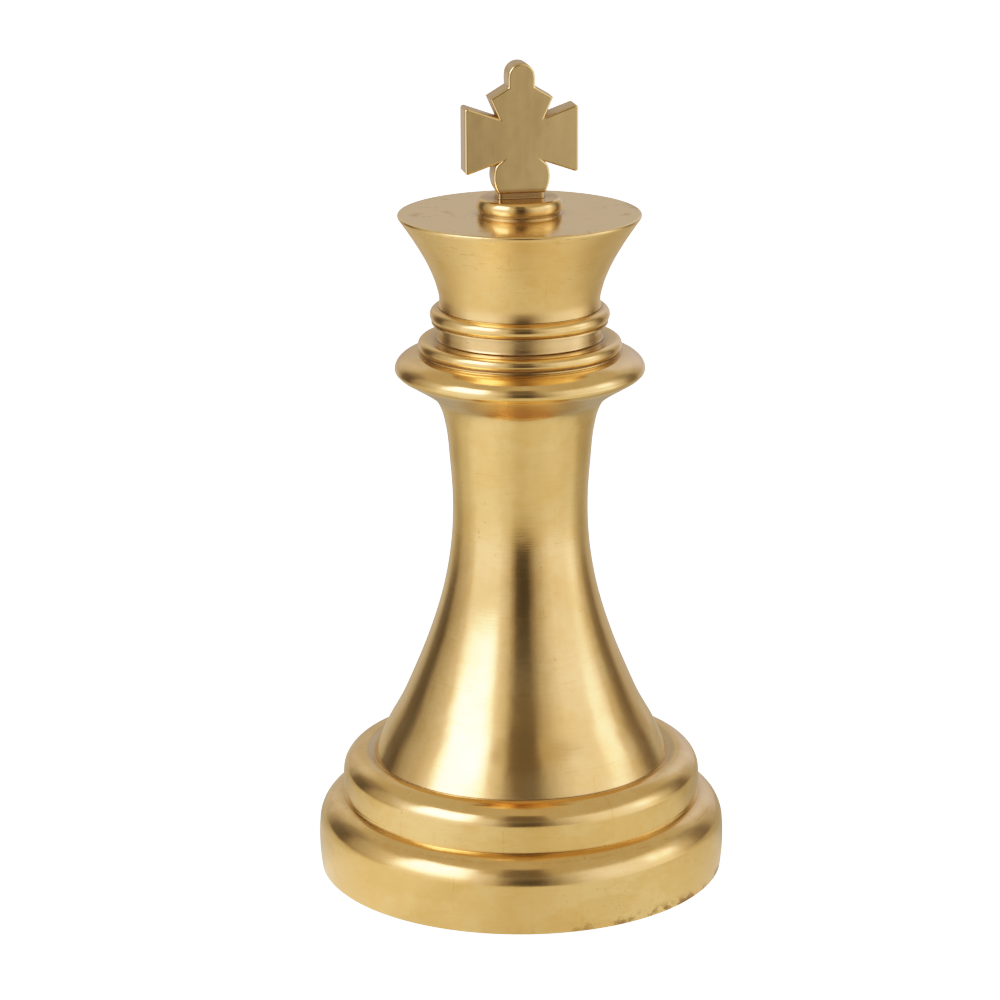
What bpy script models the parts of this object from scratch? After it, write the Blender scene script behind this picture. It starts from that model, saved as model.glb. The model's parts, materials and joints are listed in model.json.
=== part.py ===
"""A giant chess king, 0.912 m tall, built as a stack of hollow gold-leafed sections on a tie rod.

Metres, +Z up, origin at the centre of the surface that the king stands on. The cross faces -Y.
Every turned piece is an outline of (radius, height) points spun about Z.
"""

from math import acos, cos, degrees, pi, radians, sin

import bmesh
import bpy
from mathutils import Vector

MM = 0.001
GAP = 0.3 * MM  # clearance between pieces that touch
SEGMENTS = 36  # facets round the large sections
SMALL_SEGMENTS = 16  # facets round the rod, the feet and other small pieces
SCREW_SEGMENTS = 8
PLUG_SEGMENTS = 24
THROUGH = 5.0 * MM  # how far a cutter reaches past the piece that it goes through
CHAMFER = 1.0 * MM  # on the ends of rods and the edge of the base plate

# heights of the creases between the sections
RIM_Z = 0.5 * MM
PLINTH_TOP = 84.4 * MM
RING_TOP = 132.4 * MM
COLLAR_TOP = 594.2 * MM
COLLAR_BEAD_TOP = 610.0 * MM
SLEEVE_TOP = 627.3 * MM
NECK_BEAD_TOP = 644.7 * MM
CROWN_TOP = 747.0 * MM
BUTTON_TOP = 765.0 * MM
CROSS_TOP = 912.0 * MM

# plinth
PLINTH_R = 228.7 * MM  # at the widest point of its barrel side
PLINTH_WIDEST_Z = 34.0 * MM
PLINTH_FOOT_R = 226.2 * MM
PLINTH_FOOT_ROUND = 1.3 * MM
SHOULDER_Z = 50.0 * MM  # where the barrel side turns into the shoulder
SHOULDER_R = 198.0 * MM  # where the shoulder meets the deck
DECK_UNDERSIDE = 76.0 * MM
DECK_HOLE_R = 140.0 * MM
LEDGE_Z = 17.3 * MM  # underside of the ledge that the base plate is screwed to
LEDGE_TOP = 33.0 * MM
LEDGE_R = 196.0 * MM
LEDGE_RAMP = 12.0 * MM  # height of the slope above the ledge
REBATE_R = 214.0 * MM
WALL = 9.0 * MM

# base ring
RING_R = 200.4 * MM
RING_ROUND = 24.2 * MM  # radius of the ring's rolled top
RING_ROUND_Z = 110.4 * MM
RING_INNER_TOP_R = 164.8 * MM
RING_FOOT_ROUND = 5.0 * MM
RING_TOP_WALL = 12.0 * MM
SPIGOT_R = 158.0 * MM  # body's lower spigot, inside the ring
SPIGOT_WALL = 8.0 * MM

# body: waisted side, (radius, height) stations from the ring to the collar's lip
BODY_STATIONS = [
    (164.8 * MM, 132.7 * MM),
    (150.5 * MM, 164.3 * MM),
    (134.0 * MM, 194.2 * MM),
    (120.7 * MM, 224.1 * MM),
    (102.9 * MM, 268.9 * MM),
    (85.0 * MM, 328.7 * MM),
    (76.0 * MM, 388.4 * MM),
    (75.0 * MM, 430.0 * MM),
    (77.9 * MM, 474.0 * MM),
    (82.0 * MM, 511.0 * MM),
    (87.0 * MM, 530.4 * MM),
    (92.9 * MM, 541.6 * MM),
    (101.8 * MM, 549.2 * MM),
    (113.0 * MM, 556.5 * MM),
    (125.5 * MM, 564.0 * MM),
    (133.6 * MM, 569.2 * MM),
]
COLLAR_R = 137.4 * MM
COLLAR_Z = 575.2 * MM  # height of the collar's widest point
COLLAR_CREASE_R = 106.0 * MM
COLLAR_LIP = (4.6 * MM, 5.0 * MM)  # half width and half height of the rounding under the lip
NECK_SPIGOT_R = 78.0 * MM  # upper tube, which the neck pieces slip over
NECK_SPIGOT_TOP = 665.0 * MM
NECK_BORE_R = 70.0 * MM

# neck pieces
COLLAR_BEAD_R = 111.7 * MM
SLEEVE_R = 88.9 * MM
SLEEVE_FILLET = 2.4 * MM
NECK_BEAD_R = 98.5 * MM

# crown: (radius, height) stations of the trumpet
CROWN_STATIONS = [
    (88.9 * MM, 645.0 * MM),
    (88.0 * MM, 652.5 * MM),
    (91.2 * MM, 668.6 * MM),
    (99.9 * MM, 691.0 * MM),
    (112.2 * MM, 713.4 * MM),
    (127.0 * MM, 736.0 * MM),
    (132.2 * MM, 743.4 * MM),
]
CROWN_R = 132.7 * MM
CROWN_RIM_ROUND = 1.8 * MM
CROWN_DECK = 10.0 * MM  # thickness of the flat top
CROWN_SOCKET_DEPTH = 4.0 * MM  # how far the bore goes on above the neck spigot

# crown bush, stud and tie rod
THREAD_R = 6.0 * MM  # M12
BUSH_R = 11.0 * MM
BUSH_FLANGE_R = 18.0 * MM
BUSH_FLANGE = 5.0 * MM
BUSH_LENGTH = 40.0 * MM
ROD_TOP = 719.0 * MM
ROD_BOTTOM = 50.0 * MM
STUD_BOTTOM = 723.0 * MM
STUD_TOP = 800.0 * MM
WASHER_R = 24.0 * MM
WASHER_HOLE_R = 13.0 * MM
WASHER_THICK = 2.0 * MM

# clamp at the rod's foot
BRIDGE_LENGTH = 340.0 * MM
BRIDGE_WIDTH = 40.0 * MM
BRIDGE_THICK = 6.0 * MM
BRIDGE_CORNER = 6.0 * MM
ROD_WASHER_R = 18.0 * MM
ROD_WASHER_THICK = 2.5 * MM
NUT_ACROSS_FLATS = 19.0 * MM
NUT_HEIGHT = 10.8 * MM

# finial button and cross
BUTTON_R = 46.6 * MM
BUTTON_EDGE = 5.8 * MM  # how far its rounded side bulges
CROSS_THICK = 31.0 * MM
CROSS_ARRIS = 3.0 * MM  # rounding of the plate's edges
CROSS_CORNER = 3.4 * MM  # rounding of the arms' corners
CROSS_FOOT_STEP = 0.9 * MM  # how far the foot stands in from the plate's rounding
NECK_HALF = 25.4 * MM
LOBE_R = 30.9 * MM
LOBE_Z = 789.0 * MM
LOWER_NOTCH = (25.2 * MM, 804.6 * MM)
ARM_LOW = (62.1 * MM, 791.6 * MM)
ARM_HIGH = (62.1 * MM, 866.6 * MM)
UPPER_NOTCH = (25.2 * MM, 853.3 * MM)
SHOULDER_TIP = (34.6 * MM, 874.4 * MM)
KNOB_R = 14.6 * MM
KNOB_FOOT_Z = 886.4 * MM

# base plate, its screws and the feet
PLATE_R = 213.6 * MM
PLATE_BOTTOM = 5.0 * MM
PLATE_TOP = 17.0 * MM
BASE_SCREWS = 8
BASE_SCREW_CIRCLE = 205.0 * MM
BASE_SCREW_R = 2.5 * MM
BASE_SCREW_HEAD_R = 5.0 * MM
BASE_SCREW_TIP = 30.0 * MM
FEET = 6
FOOT_CIRCLE = 178.0 * MM
FOOT_R = 14.0 * MM
FOOT_RECESS_R = 5.6 * MM
FOOT_RECESS_TOP = 2.4 * MM
FOOT_EDGE = 0.8 * MM
FOOT_DRAFT = 1.0 * MM
FOOT_SCREW_R = 2.0 * MM
FOOT_SCREW_HEAD_R = 4.6 * MM
FOOT_SCREW_HEAD_Z = 0.6 * MM
FOOT_SCREW_TIP = 14.5 * MM
SCREW_POINT = 2.0 * MM

# filling plug
PLUG_AT = Vector((0.0, -105.0 * MM, 0.0))
SOCKET_R = 30.0 * MM
SOCKET_FLANGE_R = 36.0 * MM
SOCKET_FLANGE = 3.0 * MM
SOCKET_BORE_R = 20.3 * MM
SOCKET_SEAT_R = 26.3 * MM
SOCKET_SEAT_Z = 9.0 * MM
SEAL_THICK = 1.5 * MM
PLUG_R = 20.0 * MM
PLUG_HEAD_R = 26.0 * MM
PLUG_BOTTOM = 3.4 * MM
PLUG_TOP = 19.0 * MM
PLUG_EDGE = 0.8 * MM
PLUG_LEAD = 1.5 * MM  # chamfer at the start of the plug's thread
PLUG_SLOT = (38.0 * MM, 5.0 * MM, 2.0 * MM)  # length, width and depth

GOLD = ((0.62, 0.42, 0.15), 0.28, 1.0)
STEEL = ((0.55, 0.56, 0.58), 0.35, 1.0)
BRASS = ((0.70, 0.52, 0.22), 0.30, 1.0)
RUBBER = ((0.03, 0.03, 0.03), 0.85, 0.0)
PLATE_PLASTIC = ((0.06, 0.06, 0.06), 0.65, 0.0)
FIBRE = ((0.30, 0.05, 0.03), 0.80, 0.0)


def clear_scene():
    """Remove whatever the file opened with."""
    for leftover in list(bpy.data.objects):
        bpy.data.objects.remove(leftover, do_unlink=True)


def material(name, look):
    """A Principled material from (colour, roughness, metallic)."""
    colour, roughness, metallic = look
    made = bpy.data.materials.new(name)
    made.use_nodes = True
    shader = made.node_tree.nodes["Principled BSDF"]
    shader.inputs["Base Color"].default_value = (*colour, 1.0)
    shader.inputs["Roughness"].default_value = roughness
    shader.inputs["Metallic"].default_value = metallic
    made.diffuse_color = (*colour, 1.0)
    return made


def finish_mesh(name, bm, look, at=(0.0, 0.0, 0.0)):
    """Turn a bmesh into a shaded, named object with a material of its own."""
    bmesh.ops.remove_doubles(bm, verts=bm.verts, dist=0.00001)
    bmesh.ops.recalc_face_normals(bm, faces=bm.faces)
    mesh = bpy.data.meshes.new(name)
    bm.to_mesh(mesh)
    bm.free()
    mesh.shade_smooth()
    mesh.set_sharp_from_angle(angle=radians(35))
    made = bpy.data.objects.new(name, mesh)
    made.location = at
    bpy.context.scene.collection.objects.link(made)
    if look is not None:
        mesh.materials.append(material(name, look))
    return made


def spin_outline(bm, outline, segments, at=(0.0, 0.0, 0.0)):
    """Spin (radius, height) points about a vertical axis. An outline that starts and ends on the axis
    stays open along it, and any other outline is closed."""
    x, y, z = at
    points = [bm.verts.new((x + r, y, z + h)) for r, h in outline]
    edges = [bm.edges.new(pair) for pair in zip(points, points[1:])]
    if outline[0][0] > 0 or outline[-1][0] > 0:
        edges.append(bm.edges.new((points[-1], points[0])))
    bmesh.ops.spin(
        bm, geom=points + edges, cent=at, axis=(0, 0, 1), angle=2 * pi, steps=segments
    )


def turned(name, outline, look, segments=SEGMENTS, at=(0.0, 0.0, 0.0)):
    """One turned piece."""
    bm = bmesh.new()
    spin_outline(bm, outline, segments)
    return finish_mesh(name, bm, look, at)


def arc(centre, radii, start, end, steps):
    """Points on an ellipse's arc, from start to end in degrees, both ends included."""
    points = []
    for step in range(steps + 1):
        angle = radians(start + (end - start) * step / steps)
        points.append((centre[0] + radii[0] * cos(angle), centre[1] + radii[1] * sin(angle)))
    return points


def rod_outline(radius, bottom, top, bottom_chamfer=0.0, top_chamfer=0.0):
    """Outline of a solid round bar or disc, chamfered at either end or square."""
    outline = [(0, bottom), (radius - bottom_chamfer, bottom)]
    if bottom_chamfer:
        outline.append((radius, bottom + bottom_chamfer))
    if top_chamfer:
        outline.append((radius, top - top_chamfer))
    outline += [(radius - top_chamfer, top), (0, top)]
    return outline


def cutter(name, outline, places, segments=SMALL_SEGMENTS):
    """Hidden turned shapes, one at each place, for cutting holes."""
    bm = bmesh.new()
    for place in places:
        spin_outline(bm, outline, segments, at=place)
    made = finish_mesh(name, bm, None)
    made.hide_render = True
    made.display_type = "WIRE"
    return made


def cut(target, tool):
    """Subtract a hidden cutter."""
    modifier = target.modifiers.new(tool.name, "BOOLEAN")
    modifier.operation = "DIFFERENCE"
    modifier.solver = "EXACT"
    modifier.object = tool


def on_circle(count, radius, turn=0.0):
    """Evenly spaced places round the axis, the first one turned by that many degrees."""
    angles = [radians(turn + 360 * i / count) for i in range(count)]
    return [Vector((radius * cos(a), radius * sin(a), 0.0)) for a in angles]


SCREW_PLACES = on_circle(BASE_SCREWS, BASE_SCREW_CIRCLE, 22.5)
FOOT_PLACES = on_circle(FEET, FOOT_CIRCLE, 30.0)


def build_plinth():
    """Barrel-sided hollow step with a rounded shoulder, an inner ledge and a deck."""
    sag = (PLINTH_R - PLINTH_FOOT_R) / (PLINTH_WIDEST_Z - RIM_Z) ** 2
    side = []
    steps = 3
    for step in range(steps + 1):
        below_widest = (PLINTH_WIDEST_Z - RIM_Z - PLINTH_FOOT_ROUND) * (1 - step / steps)
        side.append((PLINTH_R - sag * below_widest**2, PLINTH_WIDEST_Z - below_widest))
    shoulder_side_r = PLINTH_R - sag * (SHOULDER_Z - PLINTH_WIDEST_Z) ** 2
    shoulder = arc(
        (SHOULDER_R, SHOULDER_Z),
        (shoulder_side_r - SHOULDER_R, PLINTH_TOP - SHOULDER_Z),
        0, 90, 7,
    )
    inside = arc(
        (SHOULDER_R - WALL, SHOULDER_Z),
        (shoulder_side_r - SHOULDER_R, DECK_UNDERSIDE - SHOULDER_Z),
        90, 0, 4,
    )
    outline = [
        (REBATE_R, RIM_Z),
        (PLINTH_FOOT_R - PLINTH_FOOT_ROUND, RIM_Z),
        *side,
        *shoulder,
        (DECK_HOLE_R, PLINTH_TOP),
        (DECK_HOLE_R, DECK_UNDERSIDE),
        *inside,
        (shoulder_side_r - WALL, LEDGE_TOP + LEDGE_RAMP),
        (LEDGE_R, LEDGE_TOP),
        (LEDGE_R, LEDGE_Z),
        (REBATE_R, LEDGE_Z),
    ]
    plinth = turned("plinth", outline, GOLD)
    hole = rod_outline(BASE_SCREW_R + GAP, LEDGE_Z - THROUGH, BASE_SCREW_TIP + GAP)
    cut(plinth, cutter("cut_ledge_holes", hole, SCREW_PLACES, SCREW_SEGMENTS))


def build_base_ring():
    """Rolled ring, hollow from below, trapped between the plinth and the body's shoulder."""
    roll_centre_r = RING_R - RING_ROUND
    foot = RING_FOOT_ROUND
    bottom = PLINTH_TOP + GAP
    outline = [
        (SPIGOT_R + GAP, bottom),
        (SPIGOT_R + GAP + WALL, bottom),
        (SPIGOT_R + GAP + WALL, RING_TOP - RING_TOP_WALL),
        (roll_centre_r + WALL / 2, RING_TOP - RING_TOP_WALL / 2),
        (RING_R - WALL, RING_ROUND_Z),
        (RING_R - WALL, bottom),
        *arc((RING_R - foot, bottom + foot), (foot, foot), -75, 0, 2),
        *arc((roll_centre_r, RING_ROUND_Z), (RING_ROUND, RING_ROUND), 0, 113, 8),
        (RING_INNER_TOP_R, RING_TOP),
        (SPIGOT_R + GAP, RING_TOP),
    ]
    turned("base_ring", outline, GOLD)


def build_body():
    """Waisted trunk with a spigot at each end and the wide collar near its top."""
    lip = arc((COLLAR_R - COLLAR_LIP[0], COLLAR_Z), COLLAR_LIP, -55, 0, 3)
    collar = arc(
        (COLLAR_CREASE_R, COLLAR_Z),
        (COLLAR_R - COLLAR_CREASE_R, COLLAR_TOP - COLLAR_Z),
        18, 90, 4,
    )
    inside = [(r - WALL, z) for r, z in BODY_STATIONS[5:0:-1]]
    outline = [
        (SPIGOT_R, PLINTH_TOP + GAP),
        (SPIGOT_R, RING_TOP + GAP),
        *BODY_STATIONS,
        *lip,
        *collar,
        (NECK_SPIGOT_R, COLLAR_TOP),
        (NECK_SPIGOT_R, NECK_SPIGOT_TOP),
        (NECK_BORE_R, NECK_SPIGOT_TOP),
        (NECK_BORE_R, BODY_STATIONS[8][1]),
        (BODY_STATIONS[6][0] - WALL, BODY_STATIONS[6][1]),
        *inside,
        (SPIGOT_R - SPIGOT_WALL, RING_TOP),
        (SPIGOT_R - SPIGOT_WALL, PLINTH_TOP + GAP),
    ]
    turned("body_shell", outline, GOLD)


def half_round(name, outer_r, bottom, top, steps):
    """A ring round the neck spigot with a half-round outside."""
    half = (top - bottom) / 2
    outline = [
        (NECK_SPIGOT_R + GAP, bottom),
        *arc((outer_r - half, bottom + half), (half, half), -90, 90, steps),
        (NECK_SPIGOT_R + GAP, top),
    ]
    turned(name, outline, GOLD)


def build_neck():
    """The three rings that slip over the neck spigot."""
    half_round("collar_bead", COLLAR_BEAD_R, COLLAR_TOP + GAP, COLLAR_BEAD_TOP - GAP, 6)
    bottom = COLLAR_BEAD_TOP
    fillet_centre = (SLEEVE_R + SLEEVE_FILLET, bottom + SLEEVE_FILLET)
    outline = [
        (NECK_SPIGOT_R + GAP, bottom),
        *arc(fillet_centre, (SLEEVE_FILLET, SLEEVE_FILLET), 270, 180, 2),
        (SLEEVE_R, SLEEVE_TOP - GAP),
        (NECK_SPIGOT_R + GAP, SLEEVE_TOP - GAP),
    ]
    turned("neck_sleeve", outline, GOLD)
    half_round("neck_bead", NECK_BEAD_R, SLEEVE_TOP, NECK_BEAD_TOP - GAP, 6)


def build_crown():
    """Trumpet-shaped hollow crown with a flat top that is bored and recessed for the bush."""
    rim = arc(
        (CROWN_R - CROWN_RIM_ROUND, CROWN_TOP - CROWN_RIM_ROUND),
        (CROWN_RIM_ROUND, CROWN_RIM_ROUND),
        -20, 90, 3,
    )
    inside = [(r - WALL, z) for r, z in CROWN_STATIONS[5:2:-1]]
    seat_r = BUSH_FLANGE_R + GAP
    seat_z = CROWN_TOP - BUSH_FLANGE - 2 * GAP
    outline = [
        (NECK_SPIGOT_R + GAP, CROWN_STATIONS[0][1]),
        *CROWN_STATIONS,
        *rim,
        (seat_r, CROWN_TOP),
        (seat_r, seat_z),
        (BUSH_R + GAP, seat_z),
        (BUSH_R + GAP, CROWN_TOP - CROWN_DECK),
        (CROWN_STATIONS[5][0] - WALL, CROWN_TOP - CROWN_DECK),
        *inside[1:],
        (NECK_SPIGOT_R + GAP, NECK_SPIGOT_TOP + CROWN_SOCKET_DEPTH),
    ]
    turned("crown_shell", outline, GOLD)


def build_clamp():
    """Tie rod, the bush it screws into, and the bridge, washer and nut at its foot."""
    bore_r = THREAD_R + GAP
    flange_top = CROWN_TOP - GAP
    flange_bottom = flange_top - BUSH_FLANGE
    bush = [
        (bore_r, flange_top - BUSH_LENGTH),
        (BUSH_R, flange_top - BUSH_LENGTH),
        (BUSH_R, flange_bottom),
        (BUSH_FLANGE_R, flange_bottom),
        (BUSH_FLANGE_R, flange_top),
        (bore_r, flange_top),
    ]
    turned("crown_bush", bush, BRASS, SMALL_SEGMENTS)

    rod = rod_outline(THREAD_R, ROD_BOTTOM, ROD_TOP, CHAMFER, CHAMFER)
    turned("tie_rod", rod, STEEL, SMALL_SEGMENTS)

    bridge_top = DECK_UNDERSIDE - GAP
    bridge_bottom = bridge_top - BRIDGE_THICK
    bm = bmesh.new()
    bmesh.ops.create_cube(bm, size=1.0)
    bmesh.ops.scale(bm, vec=(BRIDGE_LENGTH, BRIDGE_WIDTH, BRIDGE_THICK), verts=bm.verts)
    bmesh.ops.translate(
        bm, vec=(0, 0, (bridge_top + bridge_bottom) / 2), verts=bm.verts
    )
    upright = [e for e in bm.edges if abs(e.verts[0].co.z - e.verts[1].co.z) > BRIDGE_THICK / 2]
    bmesh.ops.bevel(
        bm, geom=upright, offset=BRIDGE_CORNER, segments=2, affect="EDGES", profile=0.5
    )
    bridge = finish_mesh("clamp_bridge", bm, STEEL)
    hole = rod_outline(bore_r, bridge_bottom - THROUGH, bridge_top + THROUGH)
    cut(bridge, cutter("cut_bridge_hole", hole, [(0, 0, 0)]))

    washer_top = bridge_bottom - GAP
    washer_bottom = washer_top - ROD_WASHER_THICK
    washer = [
        (bore_r, washer_bottom),
        (ROD_WASHER_R, washer_bottom),
        (ROD_WASHER_R, washer_top),
        (bore_r, washer_top),
    ]
    turned("rod_washer", washer, STEEL, SMALL_SEGMENTS)

    nut_top = washer_bottom - GAP
    corner_r = NUT_ACROSS_FLATS / 2 / cos(radians(30))
    nut_bottom = nut_top - NUT_HEIGHT
    rod_nut = turned("rod_nut", rod_outline(corner_r, nut_bottom, nut_top), STEEL, 6)
    bore = rod_outline(bore_r, nut_bottom - THROUGH, nut_top + THROUGH)
    cut(rod_nut, cutter("cut_nut_bore", bore, [(0, 0, 0)]))


def rounded_outline(corners, steps):
    """A closed outline from (x, z, rounding) corners. Each rounded corner becomes a short arc."""
    points = []
    count = len(corners)
    for i, (x, z, rounding) in enumerate(corners):
        here = Vector((x, z))
        if rounding == 0:
            points.append(here)
            continue
        before = (Vector(corners[i - 1][:2]) - here).normalized()
        after = (Vector(corners[(i + 1) % count][:2]) - here).normalized()
        half_angle = before.angle(after) / 2
        reach = rounding / abs(sin(half_angle)) * cos(half_angle)
        start = here + before * reach
        end = here + after * reach
        centre = here + (before + after).normalized() * (rounding / sin(half_angle))
        for step in range(steps + 1):
            towards = (start.lerp(end, step / steps) - centre).normalized()
            points.append(centre + towards * rounding)
    return points


def cross_outline():
    """The king's cross seen from the front, as (x, z) points, anticlockwise from its lower right."""
    neck_angle = degrees(acos(NECK_HALF / LOBE_R))
    lobe = arc((0, LOBE_Z), (LOBE_R, LOBE_R), -neck_angle, neck_angle, 7)[:-1]
    corner = CROSS_CORNER
    right = [(x, z, 0) for x, z in lobe]
    right += [
        (*LOWER_NOTCH, 0),
        (*ARM_LOW, corner),
        (*ARM_HIGH, corner),
        (*UPPER_NOTCH, 0),
        (*SHOULDER_TIP, 0),
        (KNOB_R, KNOB_FOOT_Z, 0),
    ]
    knob = [(x, z, 0) for x, z in arc((0, CROSS_TOP - KNOB_R), (KNOB_R, KNOB_R), 0, 180, 8)]
    left = [(-x, z, rounding) for x, z, rounding in reversed(right)]
    return rounded_outline(right + knob + left, 3)


def inset(points, distance):
    """An anticlockwise outline moved inwards, with its corners kept."""
    moved = []
    for i, here in enumerate(points):
        before = (here - points[i - 1]).normalized()
        after = (points[(i + 1) % len(points)] - here).normalized()
        inward = Vector((-before.y - after.y, before.x + after.x)).normalized()
        moved.append(here + inward * (distance / inward.dot(Vector((-before.y, before.x)))))
    return moved


def cross_solid():
    """The plate with rounded edges, standing on a foot that is set back from its faces."""
    outline = cross_outline()
    sections = []
    for turned_by in (0, 45, 90):
        back = CROSS_ARRIS * (1 - sin(radians(turned_by)))
        depth = CROSS_THICK / 2 - CROSS_ARRIS * (1 - cos(radians(turned_by)))
        sections.append((back, -depth))
    sections += [(back, -depth) for back, depth in reversed(sections)]
    bm = bmesh.new()
    loops = []
    for back, y in sections:
        loops.append([bm.verts.new((p.x, y, p.y)) for p in inset(outline, back)])
    count = len(outline)
    for near, far in zip(loops, loops[1:]):
        for i in range(count):
            j = (i + 1) % count
            bm.faces.new((near[i], near[j], far[j], far[i]))
    bm.faces.new(loops[0])
    bm.faces.new(loops[-1])

    underside = min(bm.faces, key=lambda face: face.calc_center_median().z)
    bmesh.ops.inset_region(bm, faces=[underside], thickness=CROSS_FOOT_STEP, use_even_offset=True)
    top = list(underside.verts)
    bm.faces.remove(underside)
    low = [bm.verts.new((v.co.x, v.co.y, BUTTON_TOP + GAP)) for v in top]
    for i in range(4):
        j = (i + 1) % 4
        bm.faces.new((top[i], top[j], low[j], low[i]))
    bm.faces.new(low)
    return finish_mesh("finial_cross", bm, GOLD)


def build_finial():
    """The cross, its button, the stud cast into the cross and the washer under the button."""
    bore_r = THREAD_R + GAP
    bottom = CROWN_TOP + GAP
    recess_top = bottom + WASHER_THICK + 2 * GAP
    edge_z = (bottom + BUTTON_TOP) / 2
    half = (BUTTON_TOP - bottom) / 2
    button = [
        (WASHER_R + 2 * GAP, bottom),
        *arc((BUTTON_R - BUTTON_EDGE, edge_z), (BUTTON_EDGE, half), -90, 90, 7),
        (bore_r, BUTTON_TOP),
        (bore_r, recess_top),
        (WASHER_R + 2 * GAP, recess_top),
    ]
    turned("finial_button", button, GOLD)

    washer = [
        (WASHER_HOLE_R, bottom),
        (WASHER_R, bottom),
        (WASHER_R, bottom + WASHER_THICK),
        (WASHER_HOLE_R, bottom + WASHER_THICK),
    ]
    turned("finial_washer", washer, FIBRE, PLUG_SEGMENTS)

    stud = rod_outline(THREAD_R, STUD_BOTTOM, STUD_TOP, CHAMFER, CHAMFER)
    turned("finial_stud", stud, STEEL, SMALL_SEGMENTS)

    cross = cross_solid()
    socket = rod_outline(bore_r, BUTTON_TOP - THROUGH, STUD_TOP + GAP)
    cut(cross, cutter("cut_stud_socket", socket, [(0, 0, 0)]))


def build_base_plate():
    """The cover under the plinth, drilled for its screws, the feet and the plug's socket."""
    outline = rod_outline(PLATE_R, PLATE_BOTTOM, PLATE_TOP, CHAMFER)
    plate = turned("base_plate", outline, PLATE_PLASTIC)
    below = PLATE_BOTTOM - THROUGH
    above = PLATE_TOP + THROUGH
    shank = BASE_SCREW_R + GAP
    head = BASE_SCREW_HEAD_R + GAP
    countersink = [
        (0, below),
        (head, below),
        (head, PLATE_BOTTOM + GAP),
        (shank, PLATE_BOTTOM + head - shank + GAP),
        (shank, above),
        (0, above),
    ]
    cut(plate, cutter("cut_plate_screws", countersink, SCREW_PLACES, SCREW_SEGMENTS))
    foot_hole = rod_outline(FOOT_SCREW_R + GAP, below, FOOT_SCREW_TIP + GAP)
    cut(plate, cutter("cut_plate_feet", foot_hole, FOOT_PLACES, SCREW_SEGMENTS))
    socket_hole = rod_outline(SOCKET_R + GAP, below, above)
    cut(plate, cutter("cut_plate_socket", socket_hole, [PLUG_AT], PLUG_SEGMENTS))


def build_base_fasteners():
    """Countersunk screws through the plate, and the feet with their own screws."""
    screw = [
        (0, PLATE_BOTTOM),
        (BASE_SCREW_HEAD_R, PLATE_BOTTOM),
        (BASE_SCREW_R, PLATE_BOTTOM + BASE_SCREW_HEAD_R - BASE_SCREW_R),
        (BASE_SCREW_R, BASE_SCREW_TIP - SCREW_POINT),
        (0, BASE_SCREW_TIP),
    ]
    for number, place in enumerate(SCREW_PLACES, 1):
        turned(f"base_screw_{number}", screw, STEEL, SCREW_SEGMENTS, at=place)

    foot_top = PLATE_BOTTOM - GAP
    foot = [
        (FOOT_RECESS_R, 0),
        (FOOT_R - FOOT_EDGE, 0),
        (FOOT_R, FOOT_EDGE),
        (FOOT_R - FOOT_DRAFT, foot_top),
        (FOOT_SCREW_R + GAP, foot_top),
        (FOOT_SCREW_R + GAP, FOOT_RECESS_TOP),
        (FOOT_RECESS_R, FOOT_RECESS_TOP),
    ]
    head_top = FOOT_RECESS_TOP - GAP
    foot_screw = [
        (0, FOOT_SCREW_HEAD_Z),
        (FOOT_SCREW_HEAD_R, FOOT_SCREW_HEAD_Z),
        (FOOT_SCREW_HEAD_R, head_top),
        (FOOT_SCREW_R, head_top),
        (FOOT_SCREW_R, FOOT_SCREW_TIP - SCREW_POINT),
        (0, FOOT_SCREW_TIP),
    ]
    for number, place in enumerate(FOOT_PLACES, 1):
        turned(f"foot_{number}", foot, RUBBER, SMALL_SEGMENTS, at=place)
        turned(f"foot_screw_{number}", foot_screw, STEEL, SCREW_SEGMENTS, at=place)


def build_fill_plug():
    """The threaded socket in the base plate, the plug that screws into it, and its seal."""
    socket = [
        (SOCKET_SEAT_R, PLATE_BOTTOM),
        (SOCKET_R, PLATE_BOTTOM),
        (SOCKET_R, PLATE_TOP + GAP),
        (SOCKET_FLANGE_R, PLATE_TOP + GAP),
        (SOCKET_FLANGE_R, PLATE_TOP + GAP + SOCKET_FLANGE),
        (SOCKET_BORE_R, PLATE_TOP + GAP + SOCKET_FLANGE),
        (SOCKET_BORE_R, SOCKET_SEAT_Z),
        (SOCKET_SEAT_R, SOCKET_SEAT_Z),
    ]
    turned("plug_socket", socket, PLATE_PLASTIC, PLUG_SEGMENTS, at=PLUG_AT)

    seal_top = SOCKET_SEAT_Z - GAP
    seal_bottom = seal_top - SEAL_THICK
    seal = [
        (SOCKET_BORE_R + GAP, seal_bottom),
        (SOCKET_SEAT_R - GAP, seal_bottom),
        (SOCKET_SEAT_R - GAP, seal_top),
        (SOCKET_BORE_R + GAP, seal_top),
    ]
    turned("plug_seal", seal, RUBBER, PLUG_SEGMENTS, at=PLUG_AT)

    head_top = seal_bottom - GAP
    plug = [
        (0, PLUG_BOTTOM),
        (PLUG_HEAD_R - PLUG_EDGE, PLUG_BOTTOM),
        (PLUG_HEAD_R, PLUG_BOTTOM + PLUG_EDGE),
        (PLUG_HEAD_R, head_top),
        (PLUG_R, head_top),
        (PLUG_R, PLUG_TOP - PLUG_LEAD),
        (PLUG_R - PLUG_LEAD, PLUG_TOP),
        (0, PLUG_TOP),
    ]
    made = turned("fill_plug", plug, PLATE_PLASTIC, PLUG_SEGMENTS, at=PLUG_AT)
    length, width, depth = PLUG_SLOT
    bm = bmesh.new()
    bmesh.ops.create_cube(bm, size=1.0)
    bmesh.ops.scale(bm, vec=(length, width, 2 * depth), verts=bm.verts)
    slot = finish_mesh("cut_plug_slot", bm, None, at=PLUG_AT + Vector((0, 0, PLUG_BOTTOM)))
    slot.hide_render = True
    slot.display_type = "WIRE"
    cut(made, slot)


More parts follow.
